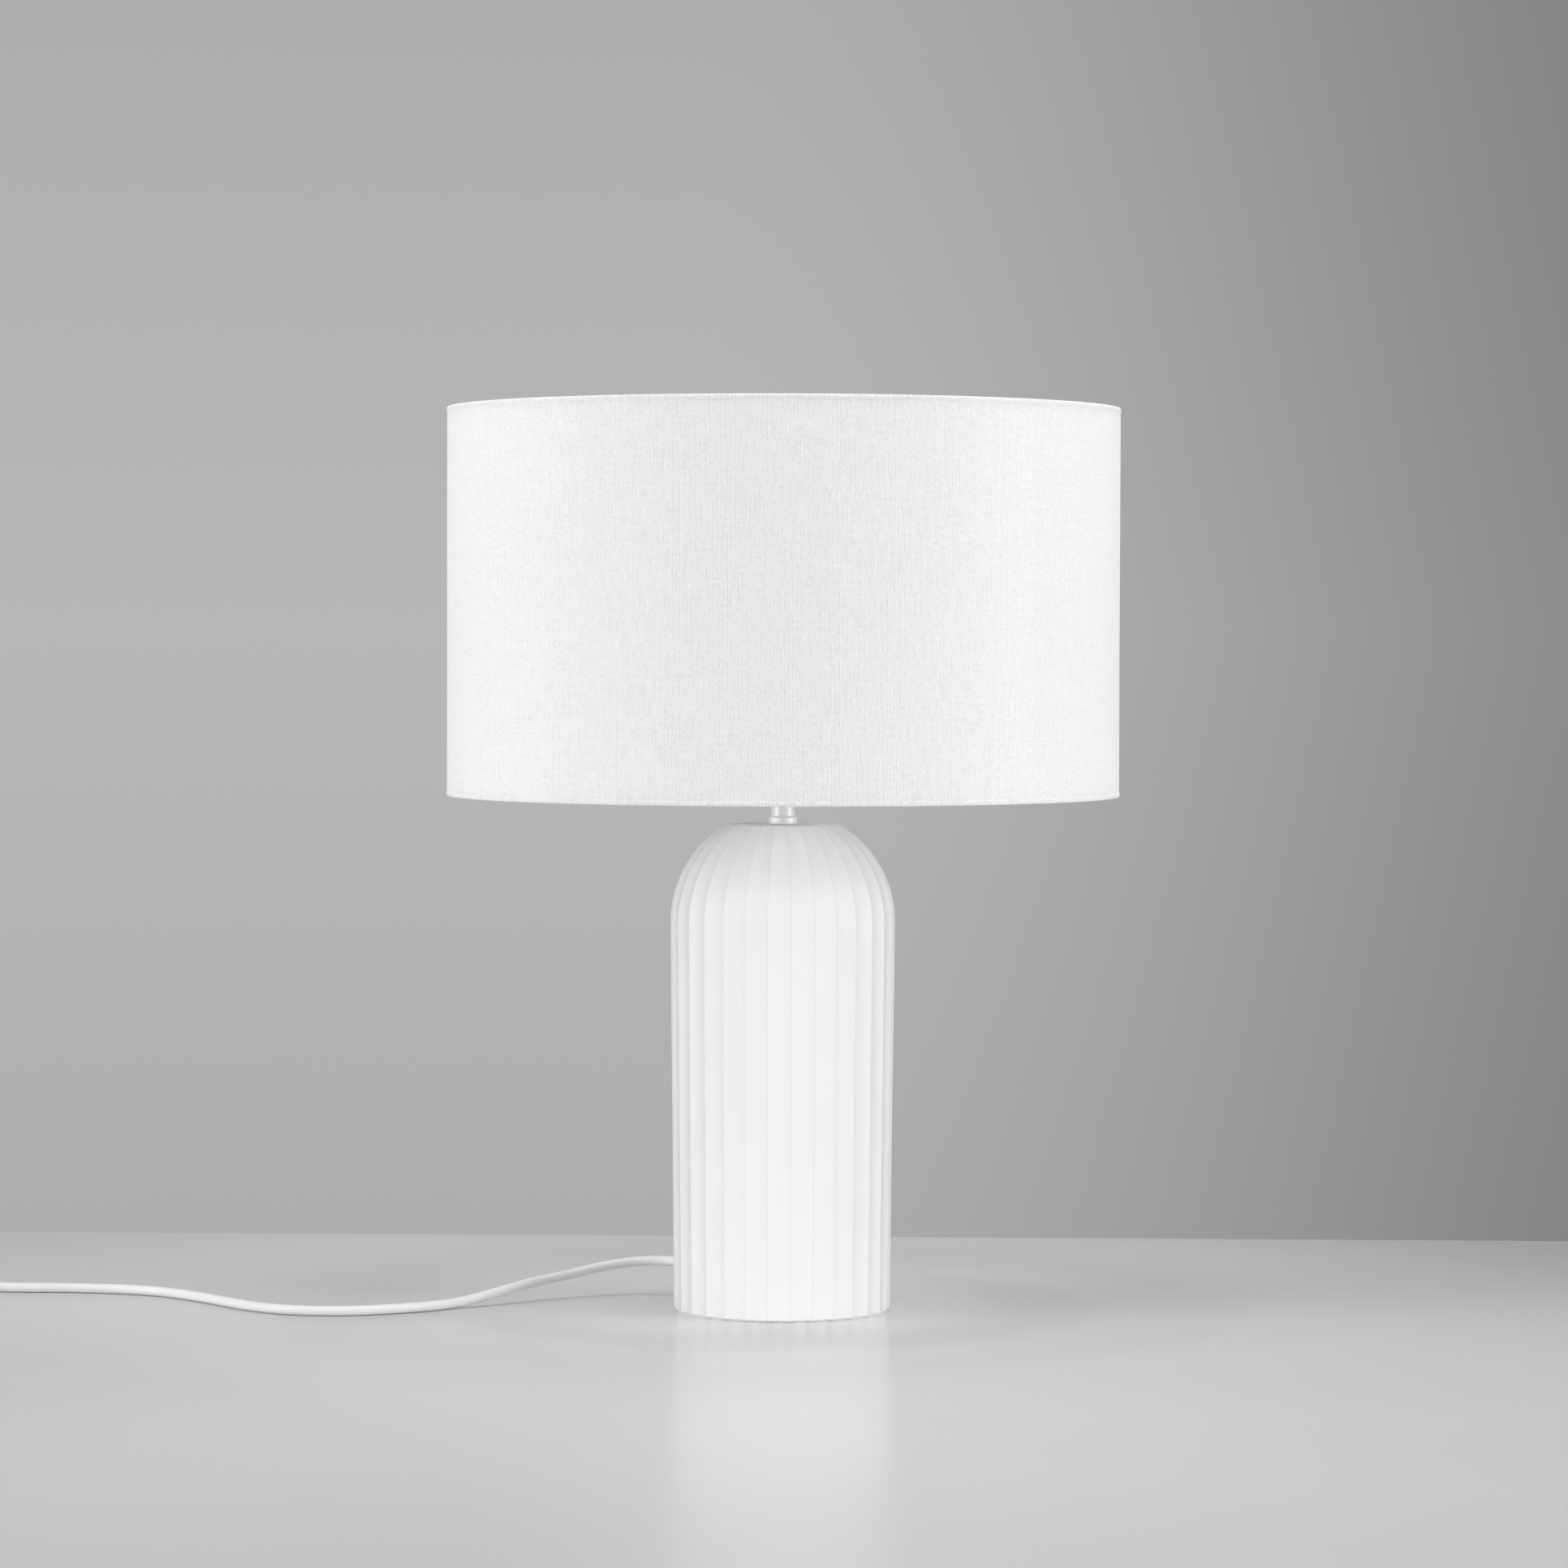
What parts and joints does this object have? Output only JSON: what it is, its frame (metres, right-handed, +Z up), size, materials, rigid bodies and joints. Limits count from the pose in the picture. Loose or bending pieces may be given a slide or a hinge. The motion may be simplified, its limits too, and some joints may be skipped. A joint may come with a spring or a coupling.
{
  "type": "table lamp with shade",
  "caption": "Table lamp: fluted matt white ceramic base with a domed shoulder, short metal neck, wide fabric drum shade, and a mains lead with inline switch and plug.",
  "frame": {"origin": "centre of the foot, on the table", "axes": "+Z up; -Y is the front of the lamp; the lead leaves at the back left and runs out along -X"},
  "size_m": [0.8468, 0.4, 0.537],
  "materials": {
    "ceramic": "matt white stoneware glaze",
    "felt": "grey wool felt",
    "zinc_steel": "zinc plated",
    "iron": "rough cast",
    "neck_metal": "satin nickel",
    "brass": "plain",
    "lead_cover": "smooth white flex cover",
    "holder_plastic": "moulded white",
    "porcelain": "glazed porcelain",
    "wire_cover": "insulation",
    "white_wire": "white powder coat",
    "liner": "white styrene film",
    "shade_cloth": "woven off-white linen look",
    "hem_cloth": "folded strip of the shade's cloth",
    "opal_glass": "opal white",
    "bulb_plastic": "moulded white",
    "nickel": "nickel plated",
    "black_plastic": "moulded black",
    "switch_plastic": "moulded white, fine satin",
    "plug_plastic": "moulded white",
    "tie_strap": "soft white strap"
  },
  "bodies": {
    "base": {"base_body": "ceramic", "felt_pad": "felt", "foot_plate": "zinc_steel", "iron_weight": "iron", "weight_bolt": "zinc_steel", "top_cap": "neck_metal", "clamp_washer": "zinc_steel", "lock_washer": "zinc_steel", "clamp_nut": "brass", "threaded_pipe": "zinc_steel", "neck_collar": "neck_metal", "stem_tube": "neck_metal", "lead_bushing": "lead_cover", "bushing_nut": "holder_plastic", "inner_lead": "lead_cover", "holder_cap": "holder_plastic", "cap_grub_screw": "zinc_steel", "holder_insert": "porcelain", "centre_contact": "brass", "screw_contact": "brass", "terminal_screws": "zinc_steel", "holder_wires": "wire_cover", "holder_shell": "holder_plastic", "lower_shade_nut": "holder_plastic", "switch_base": "switch_plastic", "switch_cover": "switch_plastic", "switch_screws": "zinc_steel", "switch_contacts": "brass", "lead_run": "lead_cover", "lead_link": "lead_cover", "lead_coil": "lead_cover", "lead_tail": "lead_cover", "coil_tie": "tie_strap", "plug_body": "plug_plastic", "plug_pins": "nickel", "plug_sleeves": "black_plastic"},
    "shade": {"shade_spider": "white_wire", "bottom_wire": "white_wire", "top_wire": "white_wire", "shade_liner": "liner", "shade_fabric": "shade_cloth", "bottom_hem": "hem_cloth", "top_hem": "hem_cloth"},
    "shade_nut": {"upper_shade_nut": "holder_plastic"},
    "bulb": {"bulb_glass": "opal_glass", "bulb_housing": "bulb_plastic", "bulb_screw_cap": "nickel", "bulb_insulator": "black_plastic", "bulb_tip": "nickel"},
    "rocker": {"switch_rocker": "switch_plastic"}
  },
  "joints": [
    {"name": "shade_turn", "type": "hinge", "parent": "base", "child": "shade", "pos_m": [0, 0, 0.35702], "axis": [0, 0, 1], "continuous": true},
    {"name": "shade_nut_turn", "type": "hinge", "parent": "base", "child": "shade_nut", "pos_m": [0, 0, 0.36202], "axis": [0, 0, 1], "continuous": true},
    {"name": "bulb_out", "type": "slide", "parent": "base", "child": "bulb", "axis": [0, 0, 1], "range_m": [0, 0.034]},
    {"name": "rocker_tilt", "type": "hinge", "parent": "base", "child": "rocker", "pos_m": [-0.536, 0.069, 0.0115], "axis": [0, 1, 0], "range_deg": [0, 16]}
  ]
}
